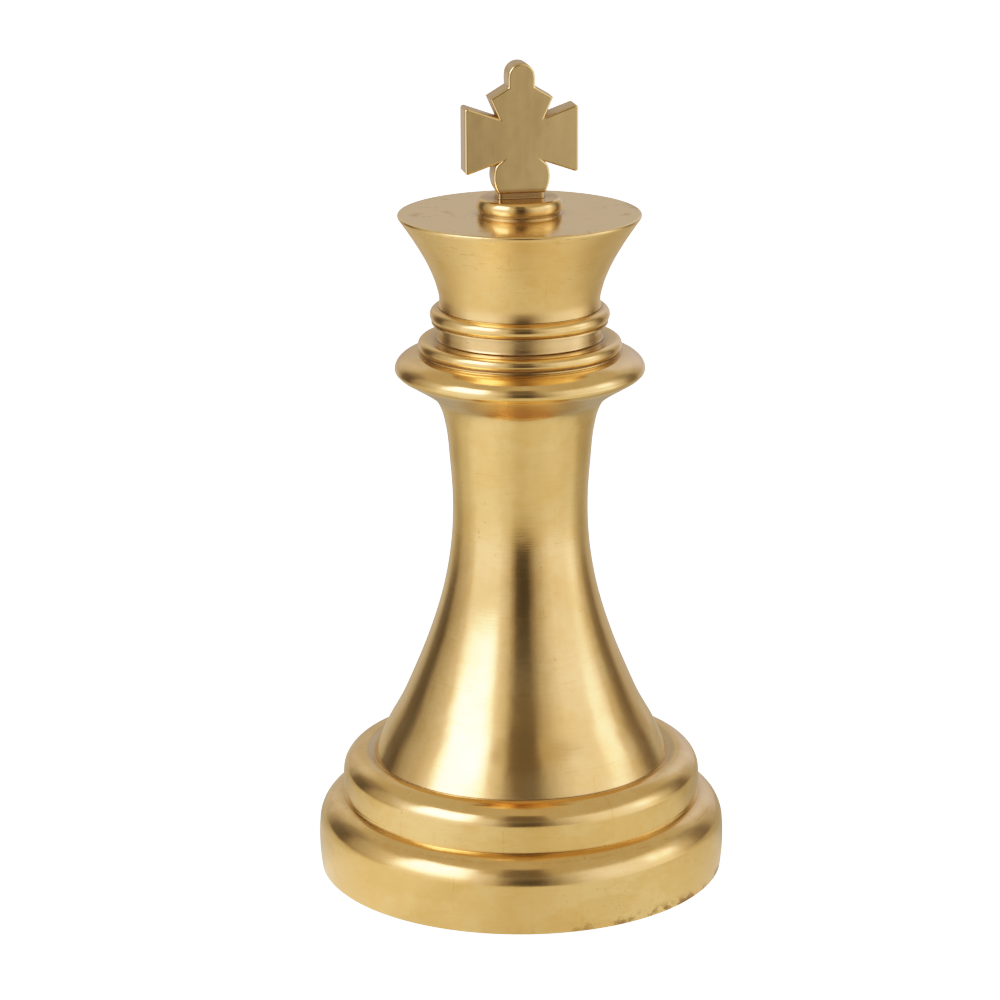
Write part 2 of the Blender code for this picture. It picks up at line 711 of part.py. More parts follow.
def build_king():
    """Every piece, from the floor up."""
    build_base_fasteners()
    build_base_plate()
    build_fill_plug()
    build_plinth()
    build_base_ring()
    build_body()
    build_neck()
    build_crown()
    build_clamp()
    build_finial()


clear_scene()
build_king()
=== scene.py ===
"""Looks of the giant chess king: fine turned surfaces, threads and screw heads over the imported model,
gold leaf and the other materials, and a white studio.

Metres, +Z up, in the row's frame. Outlines are read from the CAD nodes, and made finer.
"""

import json
from collections import defaultdict
from math import atan2, ceil, cos, pi, radians, sin, tan

import bmesh
import bpy
from mathutils import Matrix, Vector


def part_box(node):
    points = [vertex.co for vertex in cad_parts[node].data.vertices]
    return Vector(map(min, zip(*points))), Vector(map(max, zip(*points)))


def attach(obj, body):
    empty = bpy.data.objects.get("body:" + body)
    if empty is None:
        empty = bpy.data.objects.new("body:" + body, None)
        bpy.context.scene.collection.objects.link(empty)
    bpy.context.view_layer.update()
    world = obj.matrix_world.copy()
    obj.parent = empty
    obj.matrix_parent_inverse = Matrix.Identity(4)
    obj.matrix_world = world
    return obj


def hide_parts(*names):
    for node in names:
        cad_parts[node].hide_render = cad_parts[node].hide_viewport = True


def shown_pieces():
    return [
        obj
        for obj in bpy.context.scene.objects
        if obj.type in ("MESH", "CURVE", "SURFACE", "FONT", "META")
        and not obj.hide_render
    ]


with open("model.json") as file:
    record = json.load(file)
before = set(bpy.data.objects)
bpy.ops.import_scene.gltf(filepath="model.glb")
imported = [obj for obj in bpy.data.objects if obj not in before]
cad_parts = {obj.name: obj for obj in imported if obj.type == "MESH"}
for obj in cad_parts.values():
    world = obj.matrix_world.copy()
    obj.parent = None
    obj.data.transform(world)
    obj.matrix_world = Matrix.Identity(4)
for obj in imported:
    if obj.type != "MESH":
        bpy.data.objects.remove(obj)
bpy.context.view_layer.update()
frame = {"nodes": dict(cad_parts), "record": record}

MM = 0.001
COVER_SCREWS = 8
FEET = 6
NODES = frame["nodes"]
RECORD = frame["record"]
SLOT_OF = {entry["node"]: entry["material_slot"] for entry in RECORD["subparts"]}
BODY_OF = {
    node: body for body, nodes in RECORD["behaviour"]["bodies"].items() for node in nodes
}
GRID = 0.01 * MM  # CAD points that round to the same place on this grid are one point
NEAR = 0.02 * MM  # closer than this to a plane or an axis is on it
LEVEL = 0.05 * MM  # closer than this in height is level
WELD = 0.002 * MM  # points of a mesh that are closer than this become one
SMOOTH_TURN = radians(50)  # a CAD outline that turns less than this at a point is a curve there
STRAIGHT_RATIO = 4.0  # a side this much longer than its neighbour is straight
ARC_POINTS = 4  # in a rounded corner
MOST_ROUNDED = 0.3  # share of a side that a rounded corner may take
HOLDING = 1.5  # where the points beside a rounded corner are, in lengths of its reach
TURNED_SEGMENTS = 160
ROUND_SEGMENTS = 96
SMALL_SEGMENTS = 48
STUD_SEGMENTS = 40
COARSE, FINE = 3.0 * MM, 1.2 * MM  # lengths of an outline's steps
GAP = 0.3 * MM  # the CAD's clearance between pieces
BEDDING = 0.25 * MM  # how far a piece settles into that clearance
EDGE_BAND = 3.0 * MM  # above a fillet, where the edge that it comes down from is looked for
FILLETS = {  # how far up the leaf is carried straight across the crease at a piece's foot
    "base_ring": 3.5 * MM, "collar_bead": 1.4 * MM, "neck_sleeve": 0.4 * MM, "neck_bead": 1.2 * MM,
    "crown_shell": 0.4 * MM, "finial_button": 1.4 * MM,
}
CROSS_STEP = 1.5 * MM
CROSS_ARRIS = 2.3 * MM
ARRIS_STEPS = 8
FOOT_SPREAD = (0.6 * MM, 0.8 * MM)  # how far the cross's foot runs out over the button, and from how high
FOOT_CORNER = 3.0 * MM
RECESS_SIZE, RECESS_DEPTH = 0.52, 0.22  # shares of a screw head's width
SLOT_WIDTH = 0.24  # share of a recess's size
SCREW_TURN = 0.7  # radians from one screw's recess to the next one's
PLUG_SLOT = (38 * MM, 5 * MM, 2 * MM)
PLUG_THREAD = (3.0 * MM, 1.1 * MM)  # pitch and depth
STUD_THREAD = (1.75 * MM, 1.0 * MM)
THREAD_STEPS = 8  # rings of points in each turn of a thread
THREAD_FLANK = 2.4  # how steeply a thread's sides rise
THREAD_CORE = 0.8  # share of the thread's depth to which the bar is turned down where the thread runs out
SOCKET_LIP = 5.7 * MM  # how far the socket's flange laps over the cover


# ---------------------------------------------------------------- outlines


def axis_of(node):
    """Where a turned node's axis crosses the floor."""
    low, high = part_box(node)
    return ((low[0] + high[0]) / 2, (low[1] + high[1]) / 2)


def edges_in_section(mesh, place_of):
    """The ends of a mesh's edges that lie in a section. The function gives a point's place in the section,
    or None if it isn't in it."""
    for edge in mesh.edges:
        ends = [place_of(mesh.vertices[i].co) for i in edge.vertices]
        if None not in ends:
            yield ends


def chained(edges):
    """The points of edges, in order from one to the next, and whether they close."""
    links = defaultdict(set)
    places = {}
    for ends in edges:
        keys = [(round(p.x / GRID), round(p.y / GRID)) for p in ends]
        places.update(zip(keys, ends))
        if keys[0] != keys[1]:
            links[keys[0]].add(keys[1])
            links[keys[1]].add(keys[0])
    tips = sorted(key for key, others in links.items() if len(others) == 1)
    here = tips[0] if tips else min(links)
    order = [here]
    while True:
        onward = [key for key in sorted(links[here]) if key not in order]
        if not onward:
            break
        here = onward[0]
        order.append(here)
    return [places[key] for key in order], not tips


def anticlockwise(points):
    """The points in the order that goes anticlockwise round what they enclose."""
    area = sum(a.x * b.y - b.x * a.y for a, b in zip(points, points[1:] + points[:1]))
    return points if area > 0 else points[::-1]


def read_outline(node, centre):
    """A turned node's outline, as ordered (radius, height) points from the half plane at +X of its axis,
    and whether it is closed."""

    def place_of(v):
        if abs(v.y - centre[1]) > NEAR or v.x < centre[0] - GRID:
            return None
        return Vector((max(v.x - centre[0], 0.0), v.z))

    edges = edges_in_section(NODES[node].data, place_of)
    points, closed = chained(ends for ends in edges if any(on_axis(p) for p in ends))
    if not closed:  # a flat end has no point on the axis in the CAD
        points = [p for p in (on_axis(points[0]), *points, on_axis(points[-1])) if p]
    return anticlockwise(points), closed


def on_axis(point):
    """The point of the axis that is level with an outline's end, or None if the end is on the axis."""
    return Vector((0.0, point.y)) if point.x > NEAR else None


def turn_at(points, i):
    """How far the outline turns left at a point, in radians."""
    before = points[i] - points[i - 1]
    after = points[(i + 1) % len(points)] - points[i]
    return atan2(before.x * after.y - before.y * after.x, before.dot(after))


def tangent_at(points, i):
    """The direction of the curve at a point that isn't a corner."""
    before = points[i] - points[i - 1]
    after = points[(i + 1) % len(points)] - points[i]
    if before.length > STRAIGHT_RATIO * after.length:
        return before.normalized()
    if after.length > STRAIGHT_RATIO * before.length:
        return after.normalized()
    return (before / before.length**2 + after / after.length**2).normalized()


def finer(points, closed, step, rounding):
    """The outline with its curves filled in, its outer corners rounded, and its inner corners kept."""
    count = len(points)
    corner = [abs(turn_at(points, i)) > SMOOTH_TURN for i in range(count)]
    if not closed:
        corner[0] = corner[-1] = True
    made = []
    for i in range(count if closed else count - 1):
        start, end = points[i], points[(i + 1) % count]
        side = end - start
        length = side.length
        ahead = side / length
        first = ahead if corner[i] else tangent_at(points, i)
        last = ahead if corner[(i + 1) % count] else tangent_at(points, (i + 1) % count)
        pieces = max(1, ceil(length / step))
        for k in range(pieces):
            t = k / pieces
            if k == 0 and corner[i]:
                made.extend(rounded_corner(points, i, closed, rounding))
                continue
            made.append(
                start * (2 * t**3 - 3 * t**2 + 1) + first * length * (t**3 - 2 * t**2 + t)
                + end * (3 * t**2 - 2 * t**3) + last * length * (t**3 - t**2)
            )
    if not closed:
        made.append(points[-1])
    low, high = min(p.y for p in points), max(p.y for p in points)
    return [Vector((p.x, min(max(p.y, low), high))) for p in made]


def rounded_corner(points, i, closed, rounding):
    """A corner of the outline as a short arc, with a point on each side of it that keeps the shading flat."""
    here = points[i]
    at_end = not closed and i in (0, len(points) - 1)
    turn = turn_at(points, i)
    if at_end or turn < 0 or rounding == 0:
        return [here]
    back = points[i - 1] - here
    on = points[(i + 1) % len(points)] - here
    reach = min(rounding * tan(turn / 2), MOST_ROUNDED * back.length, MOST_ROUNDED * on.length)
    start = here + back.normalized() * reach
    end = here + on.normalized() * reach
    arc = []
    for k in range(ARC_POINTS):
        t = k / (ARC_POINTS - 1)
        arc.append(start * (1 - t) ** 2 + here * 2 * t * (1 - t) + end * t**2)
    before = here + back.normalized() * reach * HOLDING
    after = here + on.normalized() * reach * HOLDING
    return [before, *arc, after]


# ---------------------------------------------------------------- meshes


def new_piece(name, mesh):
    """A shaded object from a mesh."""
    shade(mesh, 40)
    piece = bpy.data.objects.new(name, mesh)
    bpy.context.scene.collection.objects.link(piece)
    return piece


def shade(mesh, sharp):
    """Smooth shading, with the edges that turn by more degrees than this kept sharp."""
    mesh.shade_smooth()
    mesh.set_sharp_from_angle(angle=radians(sharp))


def spun(name, outline, centre, segments, closed=True):
    """A surface of revolution about a vertical axis."""
    mesh = bpy.data.meshes.new(name)
    count = len(outline)
    verts = []
    for s in range(segments):
        c, n = cos(2 * pi * s / segments), sin(2 * pi * s / segments)
        verts += [(centre[0] + p.x * c, centre[1] + p.x * n, p.y) for p in outline]
    faces = []
    for s in range(segments):
        a, b = s * count, (s + 1) % segments * count
        for i in range(count if closed else count - 1):
            j = (i + 1) % count
            faces.append((a + i, b + i, b + j, a + j))
    mesh.from_pydata(verts, [], faces)
    bm = bmesh.new()
    bm.from_mesh(mesh)
    bmesh.ops.remove_doubles(bm, verts=bm.verts, dist=WELD)
    bmesh.ops.recalc_face_normals(bm, faces=bm.faces)
    bm.to_mesh(mesh)
    bm.free()
    return mesh


def bedded(outline, fillet):
    """The outline let down onto the piece below, with leaf carried straight down across the crease at its
    outer foot, over the fillet's height. Without a fillet the foot is at the widest point, and a spigot may
    reach below it."""
    foot = min(p.y for p in outline) if fillet else max(outline, key=lambda p: p.x).y
    at_foot = [abs(p.y - foot) < LEVEL for p in outline]
    made = [Vector((p.x, foot - BEDDING)) if low else p for p, low in zip(outline, at_foot)]
    if fillet:
        edge = max(p.x for p in outline if foot + fillet < p.y < foot + fillet + EDGE_BAND)
        outermost = max((p.x, i) for i, p in enumerate(outline) if at_foot[i])[1]
        for k in range(1, len(outline)):
            i = (outermost + k) % len(outline)
            if outline[i].y > foot + fillet:
                break
            made[i] = Vector((max(outline[i].x, edge), outline[i].y))
        made.insert(outermost + 1, Vector((edge, foot - BEDDING)))
    return made


def turned(node, step=COARSE, rounding=0.6 * MM, segments=TURNED_SEGMENTS, fillet=None):
    """The fine surface of a turned CAD node, bedded if a fillet is given."""
    centre = axis_of(node)
    points, closed = read_outline(node, centre)
    outline = finer(points, closed, step, rounding)
    if fillet is not None:
        outline = bedded(outline, fillet)
    return new_piece("fine_" + node, spun("fine_" + node, outline, centre, segments, closed))


def stand_for(piece, node):
    """The piece replaces a CAD node, and takes its body."""
    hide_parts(node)
    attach(piece, BODY_OF[node])


def box_mesh(size, taper=1.0):
    """A box centred on the origin in X and Y that stands on z = 0, narrower at the top by the taper."""
    bm = bmesh.new()
    bmesh.ops.create_cube(bm, size=1.0)
    bmesh.ops.translate(bm, vec=(0, 0, 0.5), verts=bm.verts)
    bmesh.ops.scale(bm, vec=size, verts=bm.verts)
    for v in bm.verts:
        if v.co.z > size[2] / 2:
            v.co.x *= taper
            v.co.y *= taper
    return bm


def carve(piece, tools):
    """Cut the tools out of the piece, and drop them. Each tool is a bmesh in the piece's own place."""
    for number, bm in enumerate(tools):
        mesh = bpy.data.meshes.new("tool")
        bmesh.ops.recalc_face_normals(bm, faces=bm.faces)
        bm.to_mesh(mesh)
        bm.free()
        tool = bpy.data.objects.new(f"tool_{number}", mesh)
        bpy.context.scene.collection.objects.link(tool)
        cut = piece.modifiers.new("cut", "BOOLEAN")
        cut.operation = "DIFFERENCE"
        cut.solver = "EXACT"
        cut.object = tool
        evaluated = piece.evaluated_get(bpy.context.evaluated_depsgraph_get())
        carved = bpy.data.meshes.new_from_object(evaluated)
        piece.modifiers.clear()
        old = piece.data
        piece.data = carved
        bpy.data.meshes.remove(old)
        bpy.data.objects.remove(tool, do_unlink=True)
    shade(piece.data, 35)
    return piece


def round_tool(centre, outline, segments=SMALL_SEGMENTS):
    """A solid of revolution for cutting, from (radius, height) points that start and end on the axis."""
    points = [Vector(p) for p in outline]
    mesh = spun("tool", points, centre, segments, closed=False)
    bm = bmesh.new()
    bm.from_mesh(mesh)
    bpy.data.meshes.remove(mesh)
    return bm


def weighted(piece):
    """The piece, with its large flat faces kept flat in the shading."""
    normals = piece.modifiers.new("weighted", "WEIGHTED_NORMAL")
    normals.keep_sharp = True
    return piece


# ---------------------------------------------------------------- finial


def cross_loop():
    """The CAD cross's outline in (x, z), in order, read at the foot of its front rounding."""
    mesh = NODES["finial_cross"].data
    low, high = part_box("finial_cross")
    middle = (low[1] + high[1]) / 2
    level = max(v.co.y for v in mesh.vertices if v.co.y < middle and v.co.z > high[2] - 0.1 * MM)

    def place_of(v):
        return Vector((v.x, v.z)) if abs(v.y - level) <= NEAR else None

    return anticlockwise(chained(edges_in_section(mesh, place_of))[0])


def clearance(points, spot):
    """How far a spot is from a closed outline."""
    nearest = 1.0
    for a, b in zip(points, points[1:] + points[:1]):
        side = b - a
        along = max(0.0, min(1.0, (spot - a).dot(side) / side.length_squared))
        nearest = min(nearest, (spot - a - side * along).length)
    return nearest


def inset(points, distance):
    """An anticlockwise outline moved inwards, with its corners kept, point for point."""
    count = len(points)
    moved = []
    for i, here in enumerate(points):
        before = (here - points[i - 1]).normalized()
        after = (points[(i + 1) % count] - here).normalized()
        inward = Vector((-before.y - after.y, before.x + after.x)).normalized()
        moved.append(here + inward * (distance / inward.dot(Vector((-before.y, before.x)))))
    if distance <= 0:
        return moved
    # Where a corner's inset point would come too close to another side, the nearest sound one stands for it.
    sound = [clearance(points, p) > distance - GRID for p in moved]
    settled = []
    for i in range(count):
        reach = next(r for r in range(count) if sound[(i + r) % count] or sound[i - r])
        settled.append(moved[(i + reach) % count if sound[(i + reach) % count] else i - reach])
    return settled


def skinned(bm, loops):
    """Faces between loops of points, from each to the next, and over the first and the last."""
    for near, far in zip(loops, loops[1:]):
        for i in range(len(near)):
            j = (i + 1) % len(near)
            bm.faces.new((near[i], near[j], far[j], far[i]))
    bm.faces.new(loops[0])
    bm.faces.new(loops[-1])


def cross_plate(bm, outline):
    """The flat cross, from front to back, with a quarter round along its edges."""
    low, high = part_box("finial_cross")
    middle = (low[1] + high[1]) / 2
    half = (high[1] - low[1]) / 2
    rings = []
    for step in range(ARRIS_STEPS + 1):
        a = pi / 2 * step / ARRIS_STEPS
        rings.append((inset(outline, CROSS_ARRIS * (1 - sin(a))), CROSS_ARRIS * (1 - cos(a)) - half))
    rings += [(ring, -y) for ring, y in reversed(rings)]
    skinned(bm, [[bm.verts.new((p.x, middle + y, p.y)) for p in ring] for ring, y in rings])


def cross_foot(bm, top):
    """The cross's foot, with rounded corners, spread a little over the button."""
    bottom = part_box("finial_cross")[0][2]
    foot = [v.co for v in NODES["finial_cross"].data.vertices if v.co.z < bottom + LEVEL]
    west, east = min(v.x for v in foot), max(v.x for v in foot)
    south, north = min(v.y for v in foot), max(v.y for v in foot)
    corners = [Vector(p) for p in ((west, south), (east, south), (east, north), (west, north))]
    plan = finer(corners, True, 1.0, FOOT_CORNER)
    spread, height = FOOT_SPREAD
    levels = ((-spread, bottom), (0.0, bottom + height), (0.0, top))
    skinned(bm, [[bm.verts.new((p.x, p.y, z)) for p in inset(plan, back)] for back, z in levels])


def fine_cross():
    """The flat cross with its curves filled in, its edges rounded and its foot softened."""
    outline = finer(cross_loop(), True, CROSS_STEP, 0.0)
    bm = bmesh.new()
    cross_plate(bm, outline)
    bmesh.ops.remove_doubles(bm, verts=bm.verts, dist=WELD)
    cross_foot(bm, min(p.y for p in outline) + CROSS_ARRIS)
    bmesh.ops.recalc_face_normals(bm, faces=bm.faces)
    mesh = bpy.data.meshes.new("fine_cross")
    bm.to_mesh(mesh)
    bm.free()
    return weighted(new_piece("fine_finial_cross", mesh))


def threaded(node, thread, bottom, top, segments, radius):
    """A bar with a right-hand V thread, given by its pitch and depth, on a CAD node's axis, between two
    heights. The thread runs out at both ends."""
    centre = axis_of(node)
    pitch, depth = thread
    steps = ceil((top - bottom) / pitch * THREAD_STEPS)
    verts = []
    for k in range(steps + 1):
        z = bottom + (top - bottom) * k / steps
        full = max(0.0, min(1.0, (z - bottom) / pitch, (top - z) / pitch))
        for s in range(segments):
            phase = ((z - bottom) / pitch - s / segments) % 1.0
            crest = min(1.0, THREAD_FLANK * abs(phase - 0.5))
            r = radius - depth * (1 - crest) * full - depth * THREAD_CORE * (1 - full)
            a = 2 * pi * s / segments
            verts.append((centre[0] + r * cos(a), centre[1] + r * sin(a), z))
    faces = []
    for k in range(steps):
        for s in range(segments):
            t = (s + 1) % segments
            a, b = k * segments, (k + 1) * segments
            faces.append((a + s, a + t, b + t, b + s))
    faces.append(tuple(reversed(range(segments))))
    faces.append(tuple(range(steps * segments, (steps + 1) * segments)))
    mesh = bpy.data.meshes.new("fine_" + node)
    mesh.from_pydata(verts, [], faces)
    return mesh


# ---------------------------------------------------------------- underside


def cross_recess(centre, bottom, size, depth):
    """Two tapered slots that make a cross recess, cut upwards from the bottom of a screw head."""
    tools = []
    for along in ((size, size * SLOT_WIDTH), (size * SLOT_WIDTH, size)):
        bm = box_mesh((along[0], along[1], depth + MM), taper=0.62)
        bmesh.ops.translate(bm, vec=(centre[0], centre[1], bottom - MM), verts=bm.verts)
        tools.append(bm)
    return tools


def fine_screws(prefix, count, rounding):
    """The screws of one kind: the first is carved, and the others share its mesh."""
    first = prefix + "1"
    centre = axis_of(first)
    low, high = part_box(first)
    head = high[0] - low[0]
    model = turned(first, 1.0 * MM, rounding, SMALL_SEGMENTS)
    carve(model, cross_recess(centre, low[2], head * RECESS_SIZE, head * RECESS_DEPTH))
    model.data.transform(Matrix.Translation((-centre[0], -centre[1], 0)))
    for number in range(1, count + 1):
        node = f"{prefix}{number}"
        piece = model if number == 1 else bpy.data.objects.new("fine_" + node, model.data)
        if number > 1:
            bpy.context.scene.collection.objects.link(piece)
        at = axis_of(node)
        piece.matrix_world = Matrix.Translation((*at, 0)) @ Matrix.Rotation(number * SCREW_TURN, 4, "Z")
        stand_for(piece, node)


def fine_plate():
    """The cover, with countersunk holes for its screws and a hole for the filling plug's socket."""
    plate = turned("base_plate", 2 * COARSE)
    low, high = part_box("base_plate")
    screw_low, screw_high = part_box("base_screw_1")
    head_r = (screw_high[0] - screw_low[0]) / 2 + GAP
    shank_r = head_r / 2
    below, above = low[2] - 2 * MM, high[2] + MM
    tools = []
    for number in range(1, COVER_SCREWS + 1):
        tools.append(round_tool(axis_of(f"base_screw_{number}"), [
            (0, below), (head_r, below), (head_r, low[2] + GAP), (shank_r, low[2] + GAP + head_r - shank_r),
            (shank_r, above), (0, above),
        ]))
    socket_low, socket_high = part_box("plug_socket")
    hole_r = (socket_high[0] - socket_low[0]) / 2 - SOCKET_LIP
    tools.append(round_tool(
        axis_of("plug_socket"), [(0, below), (hole_r, below), (hole_r, above), (0, above)], ROUND_SEGMENTS
    ))
    return weighted(carve(plate, tools))


def threaded_plug():
    """The filling plug: a slotted head, and a shank with a coarse thread."""
    low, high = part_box("fill_plug")
    centre = axis_of("fill_plug")
    head_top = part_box("plug_seal")[0][2] - GAP
    outline = read_outline("fill_plug", centre)[0]
    shank_r = max(p.x for p in outline if p.y > head_top + MM)
    bottom = [p for p in outline if p.x < LEVEL and p.y < head_top]
    rim = [p for p in outline if p.y < head_top + GAP and p.x > shank_r + MM]
    head_outline = finer(bottom + rim + [Vector((0.0, head_top))], False, 2 * MM, 0.6 * MM)
    head = new_piece(
        "fine_fill_plug", spun("fine_fill_plug", head_outline, centre, ROUND_SEGMENTS, closed=False)
    )
    slot = box_mesh((PLUG_SLOT[0], PLUG_SLOT[1], PLUG_SLOT[2] + MM), taper=0.96)
    bmesh.ops.translate(slot, vec=(centre[0], centre[1], low[2] - MM), verts=slot.verts)
    carve(head, [slot])
    inside = head_top - 0.5 * MM
    thread = threaded("fill_plug", PLUG_THREAD, inside, high[2], ROUND_SEGMENTS, shank_r)
    bm = bmesh.new()
    bm.from_mesh(head.data)
    bm.from_mesh(thread)
    bm.to_mesh(head.data)
    bm.free()
    shade(head.data, 35)
    return head


def fine_stud():
    """The finial's M12 stud."""
    low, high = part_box("finial_stud")
    radius = (high[0] - low[0]) / 2
    mesh = threaded("finial_stud", STUD_THREAD, low[2], high[2], STUD_SEGMENTS, radius)
    return new_piece("fine_finial_stud", mesh)


stand_for(turned("plinth"), "plinth")
stand_for(turned("body_shell", rounding=0.1 * MM, fillet=0.0), "body_shell")
for node, fillet in FILLETS.items():
    stand_for(turned(node, COARSE if fillet < MM else FINE, fillet=fillet), node)
stand_for(fine_cross(), "finial_cross")
stand_for(fine_stud(), "finial_stud")
stand_for(turned("finial_washer", 1.5 * MM, 0.3 * MM, 64), "finial_washer")
stand_for(turned("crown_bush", 2 * MM, 0.4 * MM, SMALL_SEGMENTS), "crown_bush")
stand_for(fine_plate(), "base_plate")
stand_for(turned("plug_socket", 2 * MM, 0.4 * MM, ROUND_SEGMENTS), "plug_socket")
stand_for(turned("plug_seal", 1.5 * MM, 0.3 * MM, ROUND_SEGMENTS), "plug_seal")
stand_for(threaded_plug(), "fill_plug")
for number in range(1, FEET + 1):
    stand_for(turned(f"foot_{number}", 1.5 * MM, 0.5 * MM, SMALL_SEGMENTS), f"foot_{number}")
fine_screws("base_screw_", COVER_SCREWS, 0.2 * MM)
fine_screws("foot_screw_", FEET, 0.5 * MM)


# ---------------------------------------------------------------- materials


class Nodes:
    """A node tree being built, with short calls for the nodes that the looks and the studio need."""

    def __init__(self, tree, place):
        self.tree = tree
        self.place = place

    def node(self, kind, settings=None, **inputs):
        """A node, with its inputs given by name, or as i0, i1 and so on by number."""
        made = self.tree.nodes.new(kind)
        for key, value in (settings or {}).items():
            setattr(made, key, value)
        for key, value in inputs.items():
            socket = made.inputs[int(key[1:])] if key[0] == "i" and key[1:].isdigit() else made.inputs[key]
            self.feed(value, socket)
        return made

    def feed(self, value, socket):
        """A link into the socket, or a constant on it."""
        if isinstance(value, bpy.types.NodeSocket):
            self.tree.links.new(value, socket)
        elif isinstance(value, tuple) and socket.type == "RGBA":
            socket.default_value = (*value, 1.0)
        else:
            socket.default_value = value

    def math(self, operation, a, b=0.0, c=0.0):
        return self.node("ShaderNodeMath", {"operation": operation}, i0=a, i1=b, i2=c).outputs[0]

    def times(self, first, *others):
        for other in others:
            first = self.math("MULTIPLY", first, other)
        return first

    def most(self, a, b):
        return self.math("MAXIMUM", a, b)

    def share_of(self, value, share, base):
        """The share of the value, on top of the base."""
        return self.math("MULTIPLY_ADD", value, share, base)

    def length(self, vector):
        return self.node("ShaderNodeVectorMath", {"operation": "LENGTH"}, i0=vector).outputs["Value"]

    def noise(self, scale, detail=3.0, rough=0.5, stretch=None):
        place = self.place
        if stretch:
            place = self.node("ShaderNodeMapping", Vector=place, Scale=stretch).outputs[0]
        made = self.node("ShaderNodeTexNoise", Vector=place, Scale=scale, Detail=detail, Roughness=rough)
        return made.outputs["Fac"]

    def ramp(self, value, low, high):
        """0 below low and 1 above high, smooth in between; the other way round if low is above high."""
        made = self.node("ShaderNodeMapRange", {"interpolation_type": "SMOOTHSTEP"}, Value=value)
        made.inputs["From Min"].default_value = low
        made.inputs["From Max"].default_value = high
        return made.outputs[0]

    def band(self, value, rise, fall):
        """1 between two smooth edges and 0 outside, each edge given as where it is 0 and where it is 1."""
        return self.times(self.ramp(value, *rise), self.ramp(value, *fall))

    def mix(self, fac, a, b, blend="MIX"):
        made = self.tree.nodes.new("ShaderNodeMix")
        made.data_type = "RGBA"
        made.blend_type = blend
        for socket, value in ((made.inputs[0], fac), (made.inputs[6], a), (made.inputs[7], b)):
            self.feed(value, socket)
        return made.outputs[2]


class Look(Nodes):
    """A node material of the object's own coordinates."""

    def __init__(self, name, roughness, metallic):
        self.material = bpy.data.materials.new(name)
        self.material.use_nodes = True
        tree = self.material.node_tree
        super().__init__(tree, tree.nodes.new("ShaderNodeTexCoord").outputs["Object"])
        self.shader = tree.nodes["Principled BSDF"]
        self.shader.inputs["Roughness"].default_value = roughness
        self.shader.inputs["Metallic"].default_value = metallic

    def lay(self, name, value):
        self.feed(value, self.shader.inputs[name])

    def bump(self, height, distance, strength=1.0):
        made = self.node("ShaderNodeBump", Height=height, Strength=strength, Distance=distance)
        self.lay("Normal", made.outputs[0])


# Where things are on the king, from the frame.
TRUNK_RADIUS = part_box("body_shell")[1][0]
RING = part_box("base_ring")[1][2]
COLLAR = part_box("collar_bead")[0][2]
NECK_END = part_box("neck_bead")[1][2]
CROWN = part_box("crown_shell")[1][2]
CROSS_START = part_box("finial_cross")[0][2]


def fade(level, nothing, full):
    """A smooth edge near a level of the king: where a look counts for nothing and where it counts in full,
    in millimetres above the level."""
    return (level + nothing * MM, level + full * MM)


# Heights, and distances from the axis round the trunk's foot. Two smooth edges are a band.
BOTTOM_EDGE = fade(0, 17, 3)
LOW_PART = fade(RING, 15.5, 0.5)
RING_TOP = (fade(RING, -4, -3), fade(RING, 1, 0))
UNDER_COLLAR = (fade(COLLAR, -64.5, -44.5), fade(COLLAR, -24.5, -32.5))
NECK = (fade(COLLAR, -4.5, 5.5), fade(CROWN, 1, -3))
CROWN_SIDE = (fade(NECK_END, -1.4, 7.6), fade(CROWN, -1, -3))
CROWN_TOP = (fade(CROWN, -1.2, -0.4), fade(CROWN, 1.5, 0.6))
FINIAL = fade(CROWN, 1, 5)
CROSS_FOOT = (fade(CROSS_START, -0.8, 0.2), fade(CROSS_START, 12.2, 9.2))
CROSS = fade(CROSS_START, 0.7, 12.7)
CROSS_LOBES = fade(CROSS_START, 9.2, 12.2)
TRUNK_FOOT = (fade(TRUNK_RADIUS, 0, 0.4), fade(TRUNK_RADIUS, 11.2, 6.2))
FRONT_RIGHT = (30 * MM, 200 * MM)  # how far out to the front right, where the bottom edge is worn most

GOLD = (0.90, 0.60, 0.245)
LIGHTER_GOLD = (0.96, 0.68, 0.30)
MOTTLED_GOLD = (0.83, 0.53, 0.18)
BRUSHED_GOLD = (0.80, 0.51, 0.18)
PATCHED_GOLD = (0.74, 0.47, 0.15)
NEXT_LEAF_GOLD = (0.78, 0.47, 0.14)
PALE_GOLD = (1.0, 0.75, 0.37)
# painted shade: the brown laid where shade falls, in recesses, under the collar and round the trunk's foot
CREASE_SHADE_BROWN = (0.46, 0.375, 0.24)
# painted shade: brown on the cross's foot, in the narrow slot over the button
CROSS_FOOT_SHADE_BROWN = (0.50, 0.32, 0.13)
# painted shade: the cross's side faces coloured darker than its front and back
CROSS_SIDE_SHADE_BROWN = (0.55, 0.35, 0.12)
BARE_RESIN = (0.27, 0.15, 0.06)


